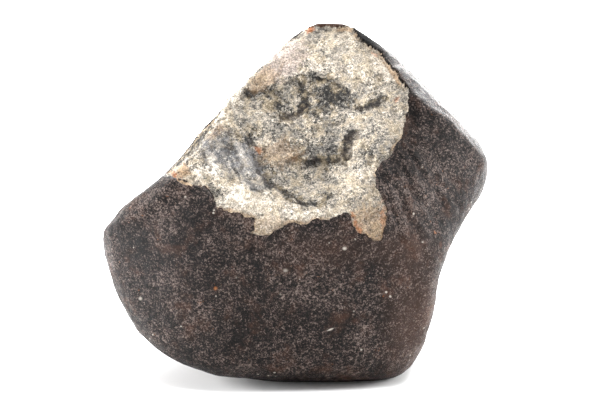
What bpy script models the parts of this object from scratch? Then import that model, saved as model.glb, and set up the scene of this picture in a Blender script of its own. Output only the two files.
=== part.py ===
# A chondrite meteorite: one loose stone with a dark melted crust, and a chipped face near its top that
# shows the pale rock inside. It stands on its own small flat spot. Metres, +Z up, the origin on the ground
# under the middle of the stone, the chipped face towards -Y.

from math import radians

import bmesh
import bpy
from mathutils import Matrix, Vector
from mathutils.bvhtree import BVHTree

MM = 0.001

# The stone's main flats: which way each faces, and how far it lies from the middle, in millimetres.
FLATS = {
    "front": ((0.03, -1.0, -0.04), 25.0),
    "front_left": ((-0.50, -0.86, -0.12), 33.5),
    "front_right": ((0.36, -0.92, -0.16), 29.5),
    "front_under": ((0.05, -0.62, -0.78), 37.0),
    "upper_front": ((0.05, -0.74, 0.67), 22.0),
    "right_face": ((0.62, -0.77, 0.14), 30.0),
    "right_flank": ((0.93, -0.15, -0.33), 34.2),
    "right_nose": ((0.94, 0.05, 0.34), 42.4),
    "top_right": ((0.685, 0.04, 0.728), 34.7),
    "apex": ((-0.02, 0.15, 1.0), 42.2),
    "top_left": ((-0.707, 0.09, 0.707), 24.2),
    "left": ((-0.97, -0.05, -0.22), 39.8),
    "left_under": ((-0.86, -0.05, -0.50), 42.0),
    "under_left": ((-0.36, -0.05, -0.93), 36.2),
    "under_right": ((0.74, 0.05, -0.67), 42.1),
    "underside": ((0.0, 0.0, -1.0), 34.2),
    "back": ((-0.05, 1.0, 0.06), 29.0),
    "back_left": ((-0.66, 0.72, 0.12), 33.0),
    "back_right": ((0.62, 0.77, -0.06), 33.0),
    "back_top": ((0.12, 0.70, 0.70), 32.0),
    "back_under": ((0.0, 0.66, -0.75), 34.0),
}
EDGE_SHARPNESS = 16  # higher makes the ridges between the flats crisper
MIDDLE_HEIGHT = 33.0 * MM  # from the flat spot up to the point that the flats are measured from
SKIN_CUTS = 22  # cuts along each edge of the cube that the skin starts from

# Thumbprint hollows of the skin: centre from the middle (x, y, z), radii and depth, in millimetres.
SKIN_HOLLOWS = {
    "right_flank": ((34.0, 2.0, -15.0), (12.0, 34.0, 22.0), 3.9),
    "right_face": ((30.0, -13.0, 7.0), (13.0, 14.0, 14.0), 1.7),
    "left_notch": ((-22.6, -4.0, 8.2), (16.5, 26.0, 16.5), 7.0),
    "left_side": ((-36.0, 8.0, -6.0), (11.0, 13.0, 12.0), 1.6),
    "back_upper": ((8.0, 26.0, 14.0), (15.0, 12.0, 12.0), 2.4),
    "back_lower": ((-14.0, 26.0, -10.0), (15.0, 12.0, 14.0), 2.2),
    "back_right": ((22.0, 20.0, -12.0), (12.0, 13.0, 13.0), 2.0),
}

# The chip's outline, in millimetres right of and above the middle, on a plane that leans back.
CHIP_LEAN = radians(10)
CHIP_OUTLINE = (
    (-23.9, 5.0),  # left tip
    (-17.5, 2.7),
    (-15.5, -0.2),
    (-8.8, -2.6),
    (-7.8, -5.9),  # first tongue
    (-2.2, -5.9),
    (0.7, -3.4),
    (9.2, -1.5),
    (10.5, -0.4),
    (13.9, -6.8),  # second tongue
    (16.7, -6.8),
    (16.4, -1.1),
    (14.9, 4.6),
    (16.5, 7.4),
    (18.8, 8.4),
    (20.4, 14.2),
    (21.6, 21.1),  # right-hand corner
    (20.1, 23.1),
    (17.3, 28.2),
    (14.8, 31.3),
    (10.5, 34.8),  # top rim
    (2.2, 35.0),
    (-2.0, 40.0),  # past the stone's upper left edge
    (-40.0, 16.0),
)
CHIP_FACE = ((-0.03, -0.74, 0.67), 20.5)  # the broken face's own plane, given as the flats are
CRUST_STEP = 0.7 * MM  # how high the crust's edge stands over the chip
LEFT_FACING = -0.45  # where the skin's outward X is below this, the chip runs out over it with no step

# Hollows of the broken face: centre on the leaning plane, radii and depth, in millimetres.
CHIP_HOLLOWS = {
    "bowl": ((0.6, 13.0), (19.0, 17.0), 3.4),
    "lower_scoop": ((2.6, 3.6), (10.0, 6.5), 2.4),
    "dark_patch": ((3.6, 21.0), (8.0, 4.5), 1.0),
    "left_hollow": ((-13.4, 10.6), (9.0, 8.0), 1.2),
}
LEDGE_MIDDLE = (4.0, 8.6)  # a small ledge across the bowl, with the scoop dropping away under it
LEDGE_HALF_LENGTH = 7.0
LEDGE_DROP = 1.3
LEDGE_FADE = 6.0

# The block that carves the broken face: its grid's corners and pitch, and how far out it stands.
RELIEF_LOWEST = (-27.0, -9.0)
RELIEF_HIGHEST = (25.0, 43.0)
RELIEF_PITCH = 1.2
CUTTER_FRONT = 60 * MM
CUTTER_BACK = 40 * MM
CUTTER_MARGIN = 10 * MM

CRUST_COLOUR = (0.045, 0.033, 0.029, 1.0)
CRUST_ROUGHNESS = 0.55


def clear_scene():
    for item in list(bpy.data.objects):
        bpy.data.objects.remove(item, do_unlink=True)


def add_object(name, shape, parent):
    mesh = bpy.data.meshes.new(name)
    shape.to_mesh(mesh)
    shape.free()
    mesh.shade_smooth()
    item = bpy.data.objects.new(name, mesh)
    item.parent = parent
    bpy.context.scene.collection.objects.link(item)
    return item


def make_crust_material():
    material = bpy.data.materials.new("fusion_crust")
    material.use_nodes = True
    shader = material.node_tree.nodes["Principled BSDF"]
    shader.inputs["Base Color"].default_value = CRUST_COLOUR
    shader.inputs["Roughness"].default_value = CRUST_ROUGHNESS
    shader.inputs["Metallic"].default_value = 0.0
    return material


def distance_to_skin(direction):
    """From the middle to the flats along a direction, with the ridges between them rounded."""
    total = 0.0
    for facing, distance in FLATS.values():
        share = direction.dot(Vector(facing).normalized()) / (distance * MM)
        total += max(0.0, share) ** EDGE_SHARPNESS
    return total ** (-1.0 / EDGE_SHARPNESS)


def hollow_depth(place, centre, radii, deepest, power):
    """Depth at a place in a dish that is deepest at its centre and nothing at its radii."""
    away = sum(((p / MM - c) / r) ** 2 for p, c, r in zip(place, centre, radii))
    return deepest * MM * max(0.0, 1.0 - away) ** power


def make_skin():
    """The whole stone before the chip: a cube's surface moved out to the flats."""
    skin = bmesh.new()
    bmesh.ops.create_cube(skin, size=2.0)
    bmesh.ops.subdivide_edges(skin, edges=skin.edges[:], cuts=SKIN_CUTS, use_grid_fill=True)
    for vertex in skin.verts:
        direction = vertex.co.normalized()
        place = direction * distance_to_skin(direction)
        depth = sum(hollow_depth(place, *hollow, 2.0) for hollow in SKIN_HOLLOWS.values())
        vertex.co = place - direction * depth
    bmesh.ops.triangulate(skin, faces=skin.faces[:])
    return skin


def cut_flat_spot(skin):
    geometry = skin.verts[:] + skin.edges[:] + skin.faces[:]
    ground = (0, 0, -MIDDLE_HEIGHT)
    cut = bmesh.ops.bisect_plane(skin, geom=geometry, plane_co=ground, plane_no=(0, 0, -1), clear_outer=True)
    rim = [item for item in cut["geom_cut"] if isinstance(item, bmesh.types.BMEdge)]
    bmesh.ops.triangle_fill(skin, edges=rim, use_beauty=True)
    bmesh.ops.recalc_face_normals(skin, faces=skin.faces[:])


def close_cutter(cutter):
    bmesh.ops.triangulate(cutter, faces=cutter.faces[:])
    bmesh.ops.recalc_face_normals(cutter, faces=cutter.faces[:])
    return cutter


def chip_to_stone():
    return Matrix.Rotation(-CHIP_LEAN, 3, "X")


def step_below_skin(tree, across, up):
    """Depth behind the leaning plane that leaves the crust's edge standing, or None where it runs out."""
    ahead = chip_to_stone() @ Vector((0, 1, 0))
    start = chip_to_stone() @ Vector((across, -CUTTER_FRONT, up))
    hit, facing, _, distance = tree.ray_cast(start, ahead)
    if hit is None or facing.x < LEFT_FACING:
        return None
    return distance - CUTTER_FRONT + CRUST_STEP


def ledge_depth(across, up):
    along = abs(across / MM - LEDGE_MIDDLE[0]) / LEDGE_HALF_LENGTH
    below = (LEDGE_MIDDLE[1] - up / MM) / LEDGE_FADE
    if along > 1.0 or not 0.0 < below < 1.0:
        return 0.0
    return LEDGE_DROP * MM * (1.0 - along**2) * (1.0 - below)


def broken_face_depth(across, up):
    """Depth of the broken face behind the leaning plane."""
    facing, distance = CHIP_FACE
    facing = Vector(facing).normalized() @ chip_to_stone()
    depth = (distance * MM - facing.x * across - facing.z * up) / facing.y
    depth += sum(hollow_depth((across, up), *hollow, 1.5) for hollow in CHIP_HOLLOWS.values())
    return depth + ledge_depth(across, up)


def make_outline_cutter():
    """A prism of the chip's outline."""
    cutter = bmesh.new()
    corners = [cutter.verts.new((x * MM, -CUTTER_FRONT, z * MM)) for x, z in CHIP_OUTLINE]
    face = cutter.faces.new(corners)
    pushed = bmesh.ops.extrude_face_region(cutter, geom=[face])
    back = [item for item in pushed["geom"] if isinstance(item, bmesh.types.BMVert)]
    bmesh.ops.translate(cutter, verts=back, vec=(0, CUTTER_FRONT + CUTTER_BACK, 0))
    return close_cutter(cutter)


def make_relief_cutter(skin):
    """A block whose back is the broken face."""
    tree = BVHTree.FromBMesh(skin)
    cutter = bmesh.new()
    size = [high - low for low, high in zip(RELIEF_LOWEST, RELIEF_HIGHEST)]
    cells = [round(length / RELIEF_PITCH) for length in size]
    bmesh.ops.create_grid(cutter, x_segments=cells[0], y_segments=cells[1], size=0.5)
    for vertex in cutter.verts:
        across = (RELIEF_LOWEST[0] + size[0] * (vertex.co.x + 0.5)) * MM
        up = (RELIEF_LOWEST[1] + size[1] * (vertex.co.y + 0.5)) * MM
        depth = broken_face_depth(across, up)
        step = step_below_skin(tree, across, up)
        vertex.co = (across, depth if step is None else max(depth, step), up)
    pushed = bmesh.ops.extrude_edge_only(cutter, edges=[edge for edge in cutter.edges if edge.is_boundary])
    for item in pushed["geom"]:
        if isinstance(item, bmesh.types.BMVert):
            item.co.y = -CUTTER_FRONT - CUTTER_MARGIN
    bmesh.ops.holes_fill(cutter, edges=[edge for edge in cutter.edges if edge.is_boundary])
    return close_cutter(cutter)


def hide_cutter(cutter):
    cutter.rotation_euler.x = -CHIP_LEAN
    cutter.hide_render = True
    cutter.display_type = "WIRE"


def add_boolean(item, operation, other):
    modifier = item.modifiers.new(operation.lower(), "BOOLEAN")
    modifier.operation = operation
    modifier.object = other


def centre_on_ground(stone, stone_frame):
    bpy.context.view_layer.update()
    shape = stone.evaluated_get(bpy.context.evaluated_depsgraph_get())
    corners = [shape.matrix_world @ Vector(corner) for corner in shape.bound_box]
    for axis in range(2):
        places = [corner[axis] for corner in corners]
        stone_frame.location[axis] -= (min(places) + max(places)) / 2


def main():
    clear_scene()
    stone_frame = bpy.data.objects.new("stone_frame", None)
    stone_frame.location.z = MIDDLE_HEIGHT
    bpy.context.scene.collection.objects.link(stone_frame)
    skin = make_skin()
    relief = add_object("chip_relief", make_relief_cutter(skin), stone_frame)
    outline = add_object("chip_outline", make_outline_cutter(), stone_frame)
    hide_cutter(relief)
    hide_cutter(outline)
    add_boolean(outline, "INTERSECT", relief)
    cut_flat_spot(skin)
    stone = add_object("meteorite", skin, stone_frame)
    stone.data.materials.append(make_crust_material())
    add_boolean(stone, "DIFFERENCE", outline)
    centre_on_ground(stone, stone_frame)


main()
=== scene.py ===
from math import cos, radians, sin

import bmesh
import bpy
import numpy as np
from mathutils import Matrix, Vector, noise
from mathutils.bvhtree import BVHTree


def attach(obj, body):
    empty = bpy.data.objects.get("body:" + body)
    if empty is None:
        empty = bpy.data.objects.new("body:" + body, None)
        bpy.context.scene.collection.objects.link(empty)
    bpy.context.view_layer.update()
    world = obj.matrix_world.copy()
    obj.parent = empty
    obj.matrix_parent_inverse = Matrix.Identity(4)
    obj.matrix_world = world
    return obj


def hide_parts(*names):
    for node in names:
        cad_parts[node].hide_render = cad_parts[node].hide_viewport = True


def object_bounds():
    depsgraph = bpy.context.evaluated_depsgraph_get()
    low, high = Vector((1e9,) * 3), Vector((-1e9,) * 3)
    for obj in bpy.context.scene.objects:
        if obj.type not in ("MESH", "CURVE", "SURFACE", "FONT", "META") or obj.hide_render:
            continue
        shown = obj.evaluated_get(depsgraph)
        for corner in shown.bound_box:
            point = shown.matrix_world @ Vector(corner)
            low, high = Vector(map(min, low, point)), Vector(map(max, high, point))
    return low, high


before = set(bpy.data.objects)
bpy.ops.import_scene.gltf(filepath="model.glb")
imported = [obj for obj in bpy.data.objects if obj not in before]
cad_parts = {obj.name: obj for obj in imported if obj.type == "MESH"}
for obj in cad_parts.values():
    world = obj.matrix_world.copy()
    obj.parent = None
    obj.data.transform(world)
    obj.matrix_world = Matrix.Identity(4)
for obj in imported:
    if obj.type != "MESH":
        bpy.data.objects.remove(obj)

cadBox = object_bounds()
mm = 0.001


# The camera comes first: places on the stone are named by the pixel where they are seen.
shot = {
    "imageSize": (612, 408),
    "lens": 130.0,  # mm, like the sensor
    "sensor": 36.0,
    "nearest": 0.01,
    "distance": 0.442,
    "elevation": 10.0,
    "aim": (0.0017, -0.0023, 0.033),
}


def makeCamera():
    data = bpy.data.cameras.new("shotCamera")
    data.lens = shot["lens"]
    data.sensor_width = shot["sensor"]
    data.clip_start = shot["nearest"]
    camera = bpy.data.objects.new("shotCamera", data)
    lift = radians(shot["elevation"])
    back = Vector((0, -cos(lift), sin(lift)))
    camera.location = Vector(shot["aim"]) + back * shot["distance"]
    camera.rotation_euler = (-back).to_track_quat("-Z", "Y").to_euler()
    bpy.context.scene.collection.objects.link(camera)
    bpy.context.scene.camera = camera
    bpy.context.view_layer.update()
    return camera


def rayThrough(camera, pixel):
    width, height = shot["imageSize"]
    spread = shot["sensor"] / shot["lens"] / width
    across, up = (pixel[0] + 0.5 - width / 2) * spread, (height / 2 - pixel[1] - 0.5) * spread
    return camera.location.copy(), camera.matrix_world.to_3x3() @ Vector((across, up, -1.0))


# The chip is laid out on a plane that leans back: u is to the right, w goes into the stone, v is up.
chip = {
    "middle": (-0.0001, -0.0023, 0.033),
    "lean": 10.0,
    "outline": (  # the crust's broken edge by pixel, from the left tip along the bottom and back over the top
        (172, 180), (180, 184), (188, 187), (205, 187), (208, 193), (211, 198), (217, 208), (224, 210),
        (240, 213), (254, 218), (252, 223), (251, 233), (257, 235), (270, 235), (274, 230), (283, 226),
        (288, 222), (308, 223), (312, 220), (318, 219), (330, 218), (338, 215), (348, 212), (352, 222),
        (358, 230), (368, 237), (374, 240), (381, 240), (384, 228), (385, 210), (382, 197), (375, 187),
        (377, 170), (379, 163), (389, 158), (394, 149), (401, 138), (403, 122), (408, 108), (408, 94),
        (403, 86), (394, 75), (385, 61), (375, 51), (362, 44), (356, 37), (352, 30), (345, 27), (326, 25),
        # from the apex they run past the silhouette, because the break reaches over the left edge
        (311, 25), (301, 22), (285, 22), (230, 74), (190, 122), (158, 168),
    ),
    "missDepth": -8.0,  # where a ray past the stone meets the leaning plane, in mm
    "wrap": (  # v, and how far into w the break reaches there, in mm
        (5.0, 15.0), (15.0, 14.5), (19.0, 9.0), (22.5, 0.0), (27.0, -1.0), (31.0, -1.5), (35.0, -0.5),
    ),
    "wrapSlope": 0.6,  # mm of distance from the edge for each mm of w
    "edgeLimits": (-6.0, 12.0),  # distances from the edge are cut off here, in mm
    "facing": 2,  # how quickly a point counts as facing the front
    "hiddenRagged": (5.0, 2.4),  # noise size and reach of the edge where it turns out of sight, in mm
    "edgeRagged": ((2.4, 0.42), (0.8, 0.24)),  # noise size and reach of the ragged edge, in mm
    "blend": 0.3,  # mm over which the crust's shape turns into the rock's
    "lip": 0.42,  # half of the crust's broken step, in mm
    "lipWidth": 1.3,
    "swells": ((9.0, 0.45), (3.6, 0.4)),  # noise size and height, in mm
    "crumbs": ((1.6, 0.25), (0.75, 0.2)),
    "lineWander": (2.2, 1.3),  # noise size and reach that bend the ledges and cracks, in mm
}

# Breaks across the chip: lines by pixel, how deep each drops, and the width it fades over, in mm.
ledges = {
    "scoopRoof": {
        "line": ((293, 159), (305, 161), (320, 161), (334, 160), (345, 158)),
        "drop": 0.6, "fade": 2.6,
    },
    "scoopSill": {
        "line": ((280, 190), (292, 199), (306, 207), (320, 205), (330, 197)),
        "drop": -0.5, "fade": 1.4,
    },
    "whiteFlake": {
        "line": ((214, 124), (228, 111), (243, 94)),
        "drop": 0.6, "fade": 2.4,
    },
    "topShelf": {
        "line": ((248, 92), (272, 84), (300, 78), (322, 77), (338, 84)),
        "drop": 0.5, "fade": 2.6,
    },
}
# Cracks: lines by pixel, depth and width in mm, and how much each darkens the rock with painted shade in the
# crack.
cracks = {
    "rightCrack": {
        "line": ((353, 130), (349, 138), (345, 146), (345, 157)),
        "deep": 0.6, "wide": 0.6, "dark": 0.25,
    },
    "slantCrack": {
        "line": ((356, 109), (367, 105), (382, 96)),
        "deep": 0.25, "wide": 0.6, "dark": 0.25,
    },
    "streakCrack": {
        "line": ((249, 138), (256, 158), (270, 186)),
        "deep": 0.2, "wide": 0.6, "dark": 0.2,
    },
    "darkCrack": {
        "line": ((281, 116), (296, 114), (306, 104)),
        "deep": 0.4, "wide": 0.5, "dark": 0.25,
    },
    "scoopArc": {
        "line": ((278, 186), (288, 196), (300, 204), (312, 207), (326, 201)),
        "deep": 0.3, "wide": 0.5, "dark": 0.3,
    },
    "leftSlip": {
        "line": ((226, 136), (236, 156), (252, 182), (262, 190)),
        "deep": 0.2, "wide": 0.5, "dark": 0.12,
    },
    "roofLine": {
        "line": ((296, 158), (312, 161), (328, 160), (342, 157)),
        "deep": 0.2, "wide": 0.4, "dark": 0.25,
    },
}
# Ridges between the crust's flats: lines by pixel, height and width in mm.
ridges = {
    "topRight": {
        "line": ((392, 76), (404, 92), (436, 116), (462, 140), (480, 162)),
        "high": 0.7, "wide": 1.3,
    },
    "leftShoulder": {
        "line": ((110, 233), (130, 217), (150, 205), (172, 186)),
        "high": 0.9, "wide": 1.4,
    },
    "rightFlank": {
        "line": ((462, 200), (446, 232), (436, 262), (428, 300), (424, 340)),
        "high": 0.3, "wide": 2.0,
    },
}
# Fine parallel streaks left of the scoop: their relief in mm, and how strongly it shows as light and dark.
streaks = {
    "at": (232, 160),
    "reach": 7.5,
    "turn": -62.0,
    "across": 0.9,
    "along": 7.0,
    "high": 0.28,
    "contrast": 2.2,
}
seeds = {  # the noise that each part of the surface uses
    "brokenEdge": 20,
    "hiddenEdge": 24,
    "ripples": 31,
    "rockSwells": 40,
    "crumbs": 44,
    "streaks": 51,
    "lines": 60,
    "patches": 70,
    "patchGrain": 75,
}


def chipTurn():
    return Matrix.Rotation(radians(chip["lean"]), 3, "X")


def onChip(places):
    return (places - np.array(chip["middle"])) @ np.array(chipTurn()).T / mm


def makeFinder(camera, skinTree):
    # Gives a function that turns a pixel into (u, w, v) in mm.
    def find(pixel):
        start, along = rayThrough(camera, pixel)
        hit = skinTree.ray_cast(start, along)[0]
        if hit is None:
            begin = chipTurn() @ (start - Vector(chip["middle"]))
            run = chipTurn() @ along
            hit = start + along * ((chip["missDepth"] * mm - begin.y) / run.y)
        return onChip(np.array(hit))
    return find


def findLine(find, line):
    return np.array([find(pixel)[[0, 2]] for pixel in line])


def nearLine(points, line):
    # Distance to an open line, and how far above it each point lies.
    nearest = np.full(len(points), np.inf)
    above = np.zeros(len(points))
    for start, end in zip(line, line[1:]):
        run = end - start
        share = np.clip((points - start) @ run / (run @ run), 0, 1)
        away = points - start - share[:, None] * run
        distance = np.linalg.norm(away, axis=1)
        side = np.sign(run[0] * away[:, 1] - run[1] * away[:, 0]) * (1 if run[0] > 0 else -1)
        closer = distance < nearest
        nearest[closer] = distance[closer]
        above[closer] = side[closer] * distance[closer]
    return nearest, above


def insideDistance(points, corners):
    inside = np.zeros(len(points), bool)
    closed = np.vstack([corners, corners[:1]])
    nearest = nearLine(points, closed)[0]
    for start, end in zip(closed, closed[1:]):
        crosses = (start[1] > points[:, 1]) != (end[1] > points[:, 1])
        rise = end[1] - start[1] if end[1] != start[1] else 1.0
        inside ^= crosses & (points[:, 0] < start[0] + (points[:, 1] - start[1]) * (end[0] - start[0]) / rise)
    return np.where(inside, nearest, -nearest)


def noiseAt(places, size, seed, octaves=2):
    shift = Vector((seed * 7.3, seed * 3.1, seed * 5.7))
    return np.array([noise.fractal(Vector(place) / size + shift, 0.9, 2.0, octaves) for place in places])


# The stone itself: the frame's solid remeshed fine, with its crust and chip worked into the surface.
stone = {
    "voxel": 0.6,  # mm between points of the crust
    "rounding": 12,  # rounds that take the solid's facets out
    "inwards": 0.5,  # each round is a step in and a step out, so that the stone doesn't shrink
    "outwards": -0.515,
    "chipMargin": 2.6,  # mm around the chip that gets points twice as close
    "refineSmooth": 0.6,
    "swells": ((15.0, 0.45), (5.5, 0.2), (2.2, 0.07), (1.1, 0.045)),  # noise size and height, in mm
    "ripples": {"at": (412, 190), "reach": 10.0, "turn": -56.0, "across": 1.4, "along": 6.0, "high": 0.8},
    "groundFade": 1.5,  # mm above the ground over which the relief comes in
}


def remeshSolid(node):
    shape = bmesh.new()
    shape.from_mesh(node.data)
    bmesh.ops.remove_doubles(shape, verts=shape.verts, dist=1e-6)
    mesh = bpy.data.meshes.new("stoneDraft")
    shape.to_mesh(mesh)
    shape.free()
    draft = bpy.data.objects.new("stoneDraft", mesh)
    bpy.context.scene.collection.objects.link(draft)
    remesh = draft.modifiers.new("remesh", "REMESH")
    remesh.mode = "VOXEL"
    remesh.voxel_size = stone["voxel"] * mm
    graph = bpy.context.evaluated_depsgraph_get()
    fine = bpy.data.meshes.new_from_object(draft.evaluated_get(graph))
    bpy.data.objects.remove(draft, do_unlink=True)
    return fine


def readShape(shape):
    shape.normal_update()
    places = np.array([vertex.co for vertex in shape.verts])
    normals = np.array([vertex.normal for vertex in shape.verts])
    return places, normals


def edgeOfChip(places, corners):
    # Signed distance in mm to the crust's broken edge, above zero on the chip.
    flat = onChip(places)
    inside = insideDistance(flat[:, (0, 2)], corners)
    heights, depths = zip(*chip["wrap"])
    wrapped = (np.interp(flat[:, 2], heights, depths) - flat[:, 1]) * chip["wrapSlope"]
    return np.clip(np.minimum(inside, wrapped), *chip["edgeLimits"]), flat


def refineChip(shape, corners):
    edge, _ = edgeOfChip(readShape(shape)[0], corners)
    shape.verts.ensure_lookup_table()
    near = {vertex for vertex, away in zip(shape.verts, edge) if away > -stone["chipMargin"]}
    edges = [line for line in shape.edges if line.verts[0] in near and line.verts[1] in near]
    bmesh.ops.subdivide_edges(
        shape, edges=edges, cuts=1, use_grid_fill=True, smooth=stone["refineSmooth"]
    )


def streaky(flat, centre, look, seed):
    # Fine parallel streaks that fade out around their centre.
    turn = radians(look["turn"])
    along = flat[:, 0] * cos(turn) + flat[:, 2] * sin(turn)
    across = -flat[:, 0] * sin(turn) + flat[:, 2] * cos(turn)
    places = np.column_stack([across / look["across"], along / look["along"], flat[:, 1] / look["along"]])
    away = np.linalg.norm(flat - centre, axis=1) / look["reach"]
    return noiseAt(places, 1.0, seed) * look["high"] * np.exp(-away**2)


def workSurface(shape, corners, find):
    places, normals = readShape(shape)
    edge, flat = edgeOfChip(places, corners)
    inMm = places / mm
    for step, (size, reach) in enumerate(chip["edgeRagged"]):
        edge += noiseAt(inMm, size, seeds["brokenEdge"] + step) * reach
    into = np.array(chipTurn().transposed() @ Vector((0, 1, 0)))
    frontShare = np.clip(-(normals @ into) * chip["facing"], 0, 1)
    size, reach = chip["hiddenRagged"]
    leftShare = np.clip(-flat[:, 0] / size, 0, 1)
    edge += noiseAt(inMm, size, seeds["hiddenEdge"], 4) * reach * (1 - frontShare) * leftShare
    onRock = np.clip(edge / chip["blend"] + 0.5, 0, 1)

    crustHeight = sum(noiseAt(inMm, size, step) * high for step, (size, high) in enumerate(stone["swells"]))
    crustHeight += streaky(flat, find(stone["ripples"]["at"]), stone["ripples"], seeds["ripples"])
    for ridge in ridges.values():
        away, _ = nearLine(flat[:, (0, 2)], findLine(find, ridge["line"]))
        onFront = np.clip(frontShare * chip["facing"], 0, 1)
        crustHeight += ridge["high"] * np.exp(-((away / ridge["wide"]) ** 2)) * onFront

    relief = sum(
        noiseAt(inMm, size, seeds["crumbs"] + step, 3) * high
        for step, (size, high) in enumerate(chip["crumbs"])
    )
    relief += streaky(flat, find(streaks["at"]), streaks, seeds["streaks"])
    rockHeight = sum(
        noiseAt(inMm, size, seeds["rockSwells"] + step, 3) * high
        for step, (size, high) in enumerate(chip["swells"])
    )
    size, reach = chip["lineWander"]
    wander = [noiseAt(inMm, size, seeds["lines"] + number) for number in range(2)]
    drawn = flat[:, (0, 2)] + np.column_stack(wander) * reach
    for ledge in ledges.values():
        away, above = nearLine(drawn, findLine(find, ledge["line"]))
        rockHeight -= np.where(above < 0, ledge["drop"] * np.exp(-away / ledge["fade"]), 0)
    for crack in cracks.values():
        away, _ = nearLine(drawn, findLine(find, crack["line"]))
        relief -= crack["deep"] * np.exp(-((away / crack["wide"]) ** 2))
    rockHeight += relief

    lip = chip["lip"] * np.exp(-np.abs(edge) / chip["lipWidth"]) * frontShare
    height = crustHeight * (1 - onRock) + rockHeight * onRock + np.where(edge < 0, lip, -lip)
    height *= np.clip(places[:, 2] / (stone["groundFade"] * mm), 0, 1)  # the flat spot stays flat
    places += normals * height[:, None] * mm
    places = np.clip(places, np.array(cadBox[0]), np.array(cadBox[1]))
    return places, edge, relief * onRock


def patchCover(flat, find, look, ragged):
    # One inside a patch of the chip and zero outside, by point.
    pixel, (long, wide), turn = look[:3]
    away = flat - find(pixel)
    along = away[:, 0] * cos(radians(turn)) + away[:, 2] * sin(radians(turn))
    across = -away[:, 0] * sin(radians(turn)) + away[:, 2] * cos(radians(turn))
    reach = np.sqrt((along / long) ** 2 + (across / wide) ** 2 + (away[:, 1] / patchDepth) ** 2)
    outer, inner = rockFinish["patchEdge"]
    share = np.clip((outer - reach - ragged) / (outer - inner), 0, 1)
    return share * share * (3 - 2 * share)


def paintChip(places, edge, find):
    # How far each point's patches lighten or darken the rock, and the colour they tint it with.
    tone = np.zeros(len(places))
    tint = np.zeros((len(places), 4))
    rows = np.nonzero(edge > rockFinish["paintedFrom"])[0]
    inMm = places[rows] / mm
    size, reach = rockFinish["patchWander"]
    wander = [noiseAt(inMm, size, seeds["patches"] + number, 3) for number in range(3)]
    flat = onChip(places[rows]) + np.column_stack(wander) * reach
    size, reach = rockFinish["patchGrain"]
    ragged = noiseAt(inMm, size, seeds["patchGrain"]) * reach
    tone[rows] += streaky(flat, find(streaks["at"]), streaks, seeds["streaks"]) * streaks["contrast"]
    # painted shade: the rock darkened along each crack
    for crack in cracks.values():
        away, _ = nearLine(flat[:, (0, 2)], findLine(find, crack["line"]))
        tone[rows] -= crack["dark"] * np.exp(-((away / crack["wide"]) ** 2))
    for look in chipPatches:
        name, strength = look[3:]
        share = patchCover(flat, find, look, ragged) * strength
        if name in rockFinish["tones"]:
            tone[rows] += share * rockFinish["tones"][name]
        else:
            cover = np.clip(share, 0, 1)[:, None]
            tint[rows] = tint[rows] * (1 - cover) + np.array((*rockFinish["tints"][name], 1.0)) * cover
    tint[:, :3] /= np.maximum(tint[:, 3:], 1e-6)
    return tone, tint


def makeStone(camera):
    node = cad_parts["meteorite"]
    solid = bmesh.new()
    solid.from_mesh(node.data)
    skinTree = BVHTree.FromBMesh(solid)
    solid.free()
    find = makeFinder(camera, skinTree)
    corners = findLine(find, chip["outline"])

    shape = bmesh.new()
    shape.from_mesh(remeshSolid(node))
    for step in [stone["inwards"], stone["outwards"]] * stone["rounding"]:
        bmesh.ops.smooth_vert(
            shape, verts=shape.verts, factor=step, use_axis_x=True, use_axis_y=True, use_axis_z=True
        )
    refineChip(shape, corners)
    places, edge, relief = workSurface(shape, corners, find)
    bmesh.ops.triangulate(shape, faces=shape.faces[:])
    mesh = bpy.data.meshes.new("meteoriteStone")
    shape.to_mesh(mesh)
    shape.free()
    mesh.vertices.foreach_set("co", places.ravel())
    mesh.shade_smooth()
    mesh.update()
    tone, tint = paintChip(places, edge, find)
    for name, values in (("chipEdge", edge), ("chipRelief", relief), ("chipTone", tone)):
        attribute = mesh.attributes.new(name, "FLOAT", "POINT")
        attribute.data.foreach_set("value", values.astype(np.float32))
    mesh.attributes.new("chipTint", "FLOAT_COLOR", "POINT").data.foreach_set("color", tint.ravel())
    piece = bpy.data.objects.new("meteoriteStone", mesh)
    bpy.context.scene.collection.objects.link(piece)
    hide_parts("meteorite")
    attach(piece, "root")
    print("stone:", len(mesh.polygons), "triangles")
    return piece, find


class Wire:  # a socket, so that shader maths is written as an expression
    def __init__(self, desk, socket):
        self.desk = desk
        self.socket = socket

    def __add__(self, other):
        return self.desk.sum("ADD", self, other)

    def __sub__(self, other):
        return self.desk.sum("SUBTRACT", self, other)

    def __rsub__(self, other):
        return self.desk.sum("SUBTRACT", other, self)

    def __mul__(self, other):
        return self.desk.sum("MULTIPLY", self, other)


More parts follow.
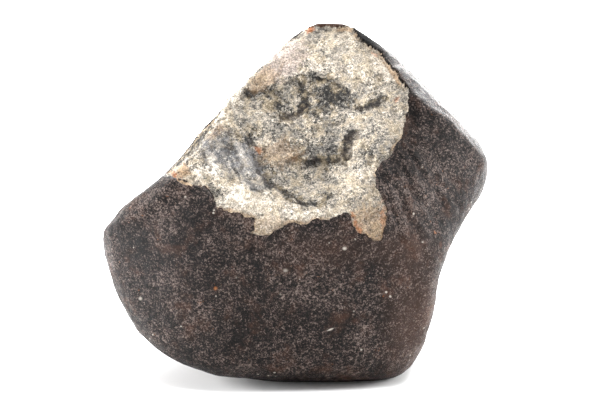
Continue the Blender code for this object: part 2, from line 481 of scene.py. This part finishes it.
class Desk:  # where one material's nodes are put together
    def __init__(self, name):
        self.material = bpy.data.materials.new(name)
        self.material.use_nodes = True
        self.tree = self.material.node_tree
        self.tree.nodes.clear()

    def node(self, kind, settings=None, sockets=None, out=0):
        made = self.tree.nodes.new("ShaderNode" + kind)
        for name, value in (settings or {}).items():
            if name == "stops":
                self.setStops(made.color_ramp, value)
            else:
                setattr(made, name, value)
        for name, value in (sockets or {}).items():
            if isinstance(value, Wire):
                self.tree.links.new(value.socket, made.inputs[name])
            else:
                made.inputs[name].default_value = value
        return Wire(self, made.outputs[out]) if len(made.outputs) else made

    def setStops(self, ramp, stops):
        while len(ramp.elements) > 1:
            ramp.elements.remove(ramp.elements[-1])
        for number, (place, colour) in enumerate(stops):
            element = ramp.elements[0] if number == 0 else ramp.elements.new(place)
            element.position = place
            element.color = (*colour, 1.0)

    def sum(self, operation, first, second):
        return self.node("Math", {"operation": operation}, {0: first, 1: second})

    def rise(self, value, low, high, to=(0.0, 1.0)):
        sockets = {"Value": value, "From Min": low, "From Max": high, "To Min": to[0], "To Max": to[1]}
        return self.node("MapRange", {"interpolation_type": "SMOOTHSTEP"}, sockets)

    def mix(self, first, second, share, blend="MIX"):
        ends = {6: opaque(first), 7: opaque(second), "Factor": share}
        return self.node("Mix", {"data_type": "RGBA", "blend_type": blend, "clamp_factor": True}, ends, out=2)

    def noise(self, vector, size, detail=2.0, roughness=0.5, out="Fac"):
        sockets = {"Vector": vector, "Scale": 1.0 / size, "Detail": detail, "Roughness": roughness}
        return self.node("TexNoise", {}, sockets, out=out)

    def cells(self, vector, size, out="Color"):
        return self.node("TexVoronoi", {}, {"Vector": vector, "Scale": 1.0 / size}, out=out)


def opaque(colour):
    return colour if isinstance(colour, Wire) else (*colour, 1.0)


# Colours are linear. A noise is its size in mm, its detail and its roughness. A rise is where a value
# starts and stops to count and, where it isn't zero to one, what it counts for.
crustFinish = {
    "dark": (0.002, 0.002, 0.002),
    "usual": (0.008, 0.0054, 0.005),
    "light": (0.054, 0.039, 0.034),
    # the brightest specks: partly the crust's pale grains and partly painted glints on its grain
    "bright": (0.17, 0.132, 0.116),
    "brown": (0.07, 0.032, 0.019),
    "slate": (0.016, 0.016, 0.019),
    "rust": (0.36, 0.13, 0.04),
    "pale": (0.5, 0.46, 0.4),
    "stops": ((0.44, "dark"), (0.51, "usual"), (0.6, "light"), (0.78, "bright")),
    "share": {"grain": 1.3, "cells": 0.24, "mottle": 0.3, "broad": 0.35, "less": 0.605},
    "noises": {
        "grain": (0.27, 3.0, 0.85),
        "broad": (9.0, 3.0, 0.6),
        "mottle": (1.6, 3.0, 0.7),
        "brown": (6.0, 5.0, 0.75),
        "rust": (1.3, 3.0, 0.8),
        "few": (3.1, 1.0),
        "rough": (1.2, 3.0),
        "bump": (0.27, 3.0, 0.65),
    },
    "rises": {
        "brown": (0.5, 0.72),
        "rust": (0.66, 0.74),
        "rusty": (0.4, 0.6),
        "fleck": (0.16, 0.1),
        "few": (0.6, 0.7),
    },
    "strength": {"brown": 0.45, "rust": 0.5, "fleck": 0.6},
    "cellSize": 0.34,
    "cellWander": (0.4, 0.3),  # noise size and reach, in mm
    "fleckSize": 1.7,
    "patchEdge": (1.7, 0.2),  # where a patch starts and is full, as a share of its half size
    "patchGrain": 1.6,
    "roughness": (0.42, 0.62),
    "dull": 0.5,  # how much rougher the dark patches are
    "grainHeight": 0.00028,  # m
}
rockFinish = {
    "shades": (  # from charcoal flakes to white grains
        (0.16, (0.03, 0.029, 0.028)),
        (0.36, (0.17, 0.16, 0.145)),
        (0.54, (0.36, 0.325, 0.275)),
        (0.74, (0.56, 0.49, 0.4)),
        (0.94, (0.8, 0.76, 0.69)),
    ),
    "tints": {
        "tan": (0.42, 0.29, 0.18),
        "brown": (0.2, 0.12, 0.07),
        "rust": (0.4, 0.15, 0.06),
        "blue": (0.29, 0.29, 0.3),
        "pink": (0.56, 0.46, 0.42),
    },
    "tones": {"black": -0.55, "dark": -0.32, "grey": -0.17, "paleGrey": -0.08, "cream": 0.1, "white": 0.22},
    "stain": (0.42, 0.29, 0.18),
    # colour of the painted shade in the rock's hollows
    "paintedHollowShade": (0.06, 0.05, 0.045),
    "warm": (0.5, 0.4, 0.26),
    "share": {"cells": 0.34, "fine": 1.3, "grainLess": 0.82, "middling": 0.8, "broad": 0.5, "less": 0.16},
    "noises": {
        "middling": (1.5, 5.0, 0.8),
        "broad": (5.0, 4.0, 0.6),
        "speckle": (4.2, 3.0, 0.7),
        "warm": (2.6, 4.0, 0.75),
        "grit": (0.3, 2.0, 0.9),
        "rough": (0.8, 3.0),
        "bump": (0.42, 4.0, 0.7),
    },
    "rises": {
        "speckle": (0.4, 0.6, (0.55, 1.35)),
        "warm": (0.46, 0.62),
        "patchy": (0.4, 0.52, (0.45, 1.0)),
        "edgeStain": (0.75, 0.25),
        "stain": (0.45, 0.6),
        "paintedHollowShade": (-0.03, -0.34),
        "grit": (0.36, 0.64, (0.5, 1.3)),
    },
    "strength": {"warm": 0.4, "edgeGrain": 0.8, "stain": 0.75, "paintedHollowShade": 0.6},
    "broken": (1.7, 1.8),  # noise size and reach, in mm, that tear the broader noises
    "cellWander": (0.5, 0.5),
    "fineSize": 0.6,  # of the grain's size
    "patchEdge": (1.3, 0.7),
    "patchWander": (2.0, 0.9),  # noise size and reach, in mm, that bend the patches
    "patchGrain": (0.6, 0.5),
    "paintedFrom": -1.0,  # mm outside the broken edge where the paint starts
    "roughness": (0.7, 0.95),
    "grainSize": 0.42,
    "grainHeight": 0.0004,  # m
}
# Where the crust meets the rock.
edgeFinish = {
    "noise": (0.45, 2.0),
    "reach": 0.35,
    "rise": (-0.06, 0.06),
    "roughRise": (0.3, 0.7),
    "specular": 0.1,
}

patchDepth = 12.0  # mm into the stone that a patch reaches

# Patches of colour on the chip: pixel, half length and half width in mm, turn in degrees, colour, strength.
# Some of them, marked below, are painted shade and painted light. They're painted on the mesh. Those of the
# crust are in its material.
chipPatches = (
    ((205, 131), (9.0, 9.0), 0, "grey", 1.0),
    ((335, 58), (8.0, 5.0), 0, "cream", 0.7),
    ((368, 78), (6.0, 4.0), -50, "cream", 0.4),
    ((383, 68), (3.0, 1.2), -55, "white", 1.0),
    ((284, 60), (5.0, 3.0), 48, "pink", 0.55),
    ((264, 78), (3.4, 1.8), 40, "tan", 0.5),
    ((375, 130), (5.0, 8.0), 0, "cream", 0.4),
    ((266, 97), (4.6, 2.4), -8, "dark", 0.5),
    ((250, 92), (1.0, 0.7), 0, "black", 0.8),
    ((275, 104), (1.8, 1.6), 0, "dark", 0.6),
    ((322, 88), (5.2, 2.7), -8, "dark", 0.65),
    ((303, 90), (0.9, 2.4), 0, "black", 0.6),
    ((321, 79), (1.8, 0.5), -8, "black", 0.9),
    ((320, 95), (1.4, 0.8), 0, "grey", 0.7),
    ((340, 96), (3.4, 2.0), -20, "dark", 0.8),
    ((318, 108), (3.4, 1.3), 10, "dark", 0.6),
    ((303, 105), (1.0, 1.6), 0, "black", 0.7),
    ((291, 115), (2.4, 0.7), 5, "black", 0.8),
    ((369, 103), (3.0, 0.8), 27, "dark", 0.8),
    ((372, 102), (2.2, 0.35), 27, "black", 1.0),
    ((346, 143), (1.0, 2.6), -12, "dark", 0.5),
    ((348, 135), (0.8, 0.6), 0, "black", 1.1),
    ((345, 142), (0.5, 1.0), 0, "black", 1.1),
    ((344, 151), (0.6, 0.7), 0, "black", 1.0),
    ((227, 109), (4.6, 1.2), 48, "white", 1.3),
    ((306, 82), (1.0, 0.7), 0, "white", 0.8),
    ((298, 100), (1.2, 0.7), 30, "white", 0.7),
    ((212, 132), (2.4, 1.1), 20, "brown", 0.6),
    ((240, 128), (5.0, 2.6), 40, "paleGrey", 0.9),
    ((222, 150), (5.4, 3.4), -30, "grey", 0.6),
    ((226, 154), (6.0, 3.6), -30, "blue", 0.4),
    ((250, 168), (2.2, 5.0), 25, "blue", 0.35),
    ((262, 172), (0.6, 4.4), 28, "dark", 0.45),
    ((248, 145), (0.5, 3.4), 18, "dark", 0.45),
    ((262, 140), (0.9, 0.8), 0, "white", 1.2),
    ((213, 169), (1.6, 1.4), 0, "white", 1.3),
    ((197, 173), (1.1, 1.4), 0, "white", 1.1),
    ((237, 191), (2.2, 1.1), -30, "white", 1.2),
    ((280, 153), (4.2, 2.6), 0, "grey", 0.5),
    ((280, 153), (4.2, 2.6), 0, "tan", 0.4),
    ((258, 150), (0.6, 0.9), 0, "rust", 0.5),
    ((292, 158), (1.2, 0.6), 0, "brown", 0.7),
    ((315, 135), (6.4, 4.0), 0, "grey", 0.6),
    # painted shade: the scoop roof's step, a dark band above it and its dark shadow line along it
    ((322, 152), (4.8, 1.5), 0, "dark", 0.5),
    ((318, 160), (4.8, 0.6), 0, "dark", 0.7),
    ((375, 148), (4.0, 1.2), 15, "dark", 0.3),
    ((303, 182), (6.6, 3.8), 0, "grey", 0.35),
    # painted shade: the arc shadow along the scoop's lower lip
    ((304, 203), (3.0, 0.7), -18, "dark", 0.7),
    ((325, 198), (0.8, 1.2), 0, "black", 0.5),
    # painted shade: the same arc shadow, further left
    ((287, 195), (2.2, 0.5), -40, "dark", 0.6),
    # partly the rock's cream colour and partly painted light: the chip's lower lip, lighter where it faces
    # up, in this patch and the next
    ((258, 204), (9.5, 2.4), -8, "cream", 2.0),
    ((322, 213), (6.0, 1.3), 8, "cream", 1.6),
    ((358, 180), (3.8, 3.0), 30, "white", 0.3),
    ((378, 150), (4.0, 5.0), 0, "grey", 0.35),
    ((266, 227), (4.2, 2.6), 0, "cream", 1.5),
    ((266, 227), (4.2, 2.6), 0, "tan", 0.35),
    ((368, 225), (3.4, 3.4), 0, "grey", 0.7),
    ((368, 222), (3.4, 3.4), 0, "tan", 0.5),
    ((375, 231), (1.0, 2.0), 20, "dark", 0.55),
    ((356, 223), (0.6, 2.2), 30, "rust", 0.6),
    ((383, 216), (0.5, 2.8), 0, "rust", 0.45),
    ((177, 178), (1.2, 0.7), 0, "rust", 0.85),
    ((182, 168), (1.4, 1.4), 0, "tan", 0.8),
    ((311, 29), (0.9, 0.5), 0, "rust", 0.9),
    ((374, 53), (1.1, 0.4), -48, "rust", 0.5),
    ((272, 53), (9.0, 0.4), 46, "dark", 0.9),
    ((205, 132), (11.0, 0.4), 50, "dark", 1.0),
    ((258, 141), (0.9, 3.4), 25, "dark", 0.5),
    ((396, 100), (0.8, 0.6), 0, "rust", 0.5),
)


# Patches of colour on the crust, in the same way. The dark ones along the chip's upper right rim are painted
# shade.
crustPatches = (
    ((418, 325), (6.0, 11.0), 0, "brown", 0.3),
    ((330, 250), (9.0, 3.0), 0, "brown", 0.15),
    ((405, 250), (5.0, 4.0), 0, "brown", 0.2),
    ((344, 248), (0.34, 0.28), 0, "pale", 0.7),
    ((330, 329), (0.6, 0.14), 22, "pale", 0.8),
    ((285, 270), (0.4, 0.3), 0, "pale", 0.35),
    ((140, 298), (0.3, 0.3), 0, "pale", 0.5),
    ((440, 244), (0.3, 0.6), 0, "brown", 0.6),
    ((250, 248), (0.6, 1.0), 0, "dark", 0.6),
    ((325, 24), (4.4, 1.0), 0, "brown", 0.6),
    # painted shade: a dark band along the chip's upper right rim, where the crust is turned from the light
    ((366, 38), (5.0, 2.4), -48, "dark", 1.0),
    ((415, 150), (6.0, 7.0), 0, "dark", 0.3),
    # painted shade: the same band further down the rim, in this patch and the next
    ((399, 84), (5.0, 1.3), -54, "dark", 0.9),
    ((412, 112), (2.6, 1.1), -60, "dark", 0.8),
    ((150, 262), (15.0, 9.0), 0, "slate", 0.1),
    ((215, 288), (0.3, 0.3), 0, "rust", 0.6),
)


def patchShare(desk, vector, find, look, grain):
    # One inside the patch and zero outside, with a grainy edge.
    pixel, (long, wide), turn = look[:3]
    placed = desk.node(
        "Mapping",
        {"vector_type": "TEXTURE"},
        {
            "Vector": vector,
            "Location": tuple(find(pixel)),
            "Rotation": (0.0, -radians(turn), 0.0),
            "Scale": (long, patchDepth, wide),
        },
    )
    away = desk.node("VectorMath", {"operation": "LENGTH"}, {0: placed}, out="Value")
    return desk.rise(away + (grain - 0.5) * crustFinish["patchGrain"], *crustFinish["patchEdge"])


def raggedPlaces(desk, vector, size, reach):
    wander = desk.noise(vector, size, detail=4.0, roughness=0.7, out="Color")
    moved = desk.node("VectorMath", {"operation": "SUBTRACT"}, {0: wander, 1: (0.5, 0.5, 0.5)})
    moved = desk.node("VectorMath", {"operation": "SCALE"}, {0: moved, "Scale": reach})
    return desk.node("VectorMath", {"operation": "ADD"}, {0: vector, 1: moved})


def makeRockColour(desk, vector, edge, relief):
    finish = rockFinish
    size = finish["grainSize"]
    noises = finish["noises"]
    rises = finish["rises"]
    share = finish["share"]
    strength = finish["strength"]
    broken = raggedPlaces(desk, vector, *finish["broken"])
    torn = raggedPlaces(desk, vector, *finish["cellWander"])
    cells = desk.node("SeparateColor", {}, {0: desk.cells(torn, size)})
    fine = desk.noise(vector, size * finish["fineSize"], detail=2.0, roughness=0.9)
    middling = desk.noise(broken, *noises["middling"])
    broad = desk.noise(broken, *noises["broad"])
    speckled = desk.rise(desk.noise(vector, *noises["speckle"]), *rises["speckle"])
    grains = (cells * share["cells"] + fine * share["fine"] - share["grainLess"]) * speckled
    shade = grains + middling * share["middling"] + broad * share["broad"] - share["less"]
    shade = shade + desk.node("Attribute", {"attribute_name": "chipTone"}, out="Fac")
    colour = desk.node("ValToRGB", {"stops": finish["shades"]}, {0: shade})
    warmth = desk.rise(desk.noise(vector, *noises["warm"]), *rises["warm"])
    colour = desk.mix(colour, finish["warm"], warmth * strength["warm"])
    patchy = desk.rise(middling, *rises["patchy"])
    tint = desk.node("Attribute", {"attribute_name": "chipTint"}, out="Color")
    tinted = desk.node("Attribute", {"attribute_name": "chipTint"}, out="Alpha")
    colour = desk.mix(colour, tint, tinted * patchy)
    edgeStain = desk.rise(edge + (fine - 0.5) * strength["edgeGrain"], *rises["edgeStain"])
    stained = edgeStain * desk.rise(broad, *rises["stain"])
    colour = desk.mix(colour, finish["stain"], stained * strength["stain"])
    # painted shade: the rock is darkened where its relief is low, in hollows and cracks
    paintedShadeInHollows = desk.rise(relief, *rises["paintedHollowShade"])
    colour = desk.mix(colour, finish["paintedHollowShade"], paintedShadeInHollows * strength["paintedHollowShade"])
    grit = desk.rise(desk.noise(vector, *noises["grit"]), *rises["grit"])
    return desk.mix(colour, desk.node("CombineColor", {}, {0: grit, 1: grit, 2: grit}), 1.0, "MULTIPLY")


def makeCrustColour(desk, vector, find):
    finish = crustFinish
    noises = finish["noises"]
    rises = finish["rises"]
    share = finish["share"]
    strength = finish["strength"]
    grain = desk.noise(vector, *noises["grain"])
    broad = desk.noise(vector, *noises["broad"])
    mottle = desk.noise(vector, *noises["mottle"])
    torn = raggedPlaces(desk, vector, *finish["cellWander"])
    cells = desk.node("SeparateColor", {}, {0: desk.cells(torn, finish["cellSize"])})
    value = grain * share["grain"] + cells * share["cells"] + mottle * share["mottle"]
    value = value + broad * share["broad"] - share["less"]
    stops = [(place, finish[tone]) for place, tone in finish["stops"]]
    colour = desk.node("ValToRGB", {"stops": stops}, {0: value})
    brown = desk.rise(desk.noise(vector, *noises["brown"]), *rises["brown"])
    colour = desk.mix(colour, finish["brown"], brown * strength["brown"])
    rust = desk.rise(desk.noise(vector, *noises["rust"]), *rises["rust"]) * desk.rise(broad, *rises["rusty"])
    colour = desk.mix(colour, finish["rust"], rust * strength["rust"])
    flecks = desk.rise(desk.cells(vector, finish["fleckSize"], out="Distance"), *rises["fleck"])
    few = desk.rise(desk.noise(vector, *noises["few"]), *rises["few"])
    colour = desk.mix(colour, finish["pale"], flecks * few * strength["fleck"])
    dull = 0.0
    for look in crustPatches:
        tone, amount = look[3:]
        cover = patchShare(desk, vector, find, look, grain)
        colour = desk.mix(colour, finish[tone], cover * amount)
        if tone == "dark":
            dull = cover * (finish["dull"] * amount) + dull
    return colour, dull


def makeStoneMaterial(find):
    desk = Desk("crustedStone")
    place = desk.node("TexCoord", out="Object")
    shift = -(chipTurn() @ Vector(chip["middle"])) / mm
    vector = desk.node(  # (u, w, v) in mm, as in onChip
        "Mapping",
        {"vector_type": "POINT"},
        {
            "Vector": place,
            "Location": tuple(shift),
            "Rotation": (radians(chip["lean"]), 0.0, 0.0),
            "Scale": (1 / mm, 1 / mm, 1 / mm),
        },
    )
    edge = desk.node("Attribute", {"attribute_name": "chipEdge"}, out="Fac")
    relief = desk.node("Attribute", {"attribute_name": "chipRelief"}, out="Fac")
    ragged = (desk.noise(vector, *edgeFinish["noise"]) - 0.5) * edgeFinish["reach"]
    onRock = desk.rise(edge + ragged, *edgeFinish["rise"])
    rock = makeRockColour(desk, vector, edge, relief)
    crust, dull = makeCrustColour(desk, vector, find)
    colour = desk.mix(crust, rock, onRock)

    def roughOf(finish):
        return desk.rise(
            desk.noise(vector, *finish["noises"]["rough"]), *edgeFinish["roughRise"], finish["roughness"]
        )

    crustRough = roughOf(crustFinish) + dull
    rockRough = roughOf(rockFinish)
    roughness = crustRough * (1 - onRock) + rockRough * onRock

    crustGrain = desk.noise(vector, *crustFinish["noises"]["bump"])
    rockGrain = desk.noise(vector, *rockFinish["noises"]["bump"])
    height = crustGrain * (1 - onRock) * (crustFinish["grainHeight"] / mm)
    height = height + rockGrain * onRock * (rockFinish["grainHeight"] / mm)
    bump = desk.node("Bump", {}, {"Strength": 1.0, "Distance": mm, "Height": height})
    sockets = {
        "Base Color": colour,
        "Roughness": roughness,
        "Normal": bump,
        "Specular IOR Level": edgeFinish["specular"],
    }
    shader = desk.node("BsdfPrincipled", {}, sockets)
    desk.node("OutputMaterial", {}, {"Surface": shader})
    return desk.material


studio = {
    "paper": {"colour": (0.92, 0.92, 0.92), "shade": 0.98, "grain": (0.02, 2.0), "rough": 0.9, "reach": 3.0},
    "sky": 0.43,
    "sun": {"from": (0.1, -0.05, 1.0), "strength": 5.5, "spread": 44.0},
    "lamps": {  # place, width, power in watts
        "backPanel": ((0.1, 1.0, 0.53), 1.0, 72.0),
        "leftSide": ((-0.7, 0.0, 0.16), 0.4, 16.0),
        "rightSide": ((0.7, 0.15, 0.22), 0.4, 8.5),
    },
}


def makePaper():
    look = studio["paper"]
    desk = Desk("paper")
    grain = desk.noise(desk.node("TexCoord", out="Object"), *look["grain"])
    colour = desk.mix(look["colour"], [part * look["shade"] for part in look["colour"]], grain)
    shader = desk.node("BsdfPrincipled", {}, {"Base Color": colour, "Roughness": look["rough"]})
    desk.node("OutputMaterial", {}, {"Surface": shader})
    shape = bmesh.new()
    bmesh.ops.create_grid(shape, x_segments=1, y_segments=1, size=look["reach"])
    mesh = bpy.data.meshes.new("paperFloor")
    shape.to_mesh(mesh)
    shape.free()
    mesh.materials.append(desk.material)
    floor = bpy.data.objects.new("paperFloor", mesh)
    bpy.context.scene.collection.objects.link(floor)


def makeLights():
    for name, (place, width, power) in studio["lamps"].items():
        data = bpy.data.lights.new(name, "AREA")
        data.energy = power
        data.size = width
        lamp = bpy.data.objects.new(name, data)
        lamp.location = place
        towards = Vector(chip["middle"]) - Vector(place)
        lamp.rotation_euler = towards.to_track_quat("-Z", "Y").to_euler()
        bpy.context.scene.collection.objects.link(lamp)
    sun = bpy.data.lights.new("sun", "SUN")
    sun.energy = studio["sun"]["strength"]
    sun.angle = radians(studio["sun"]["spread"])
    lamp = bpy.data.objects.new("sun", sun)
    lamp.rotation_euler = (-Vector(studio["sun"]["from"])).to_track_quat("-Z", "Y").to_euler()
    bpy.context.scene.collection.objects.link(lamp)
    world = bpy.data.worlds.new("whiteTent")
    world.use_nodes = True
    sky = world.node_tree.nodes["Background"]
    sky.inputs["Color"].default_value = (1, 1, 1, 1)
    sky.inputs["Strength"].default_value = studio["sky"]
    bpy.context.scene.world = world
    bpy.context.scene.view_settings.view_transform = "Standard"


camera = makeCamera()
print("camera placed")
piece, find = makeStone(camera)
piece.data.materials.append(makeStoneMaterial(find))
print("stone finished")
makePaper()
makeLights()
print("studio lit")
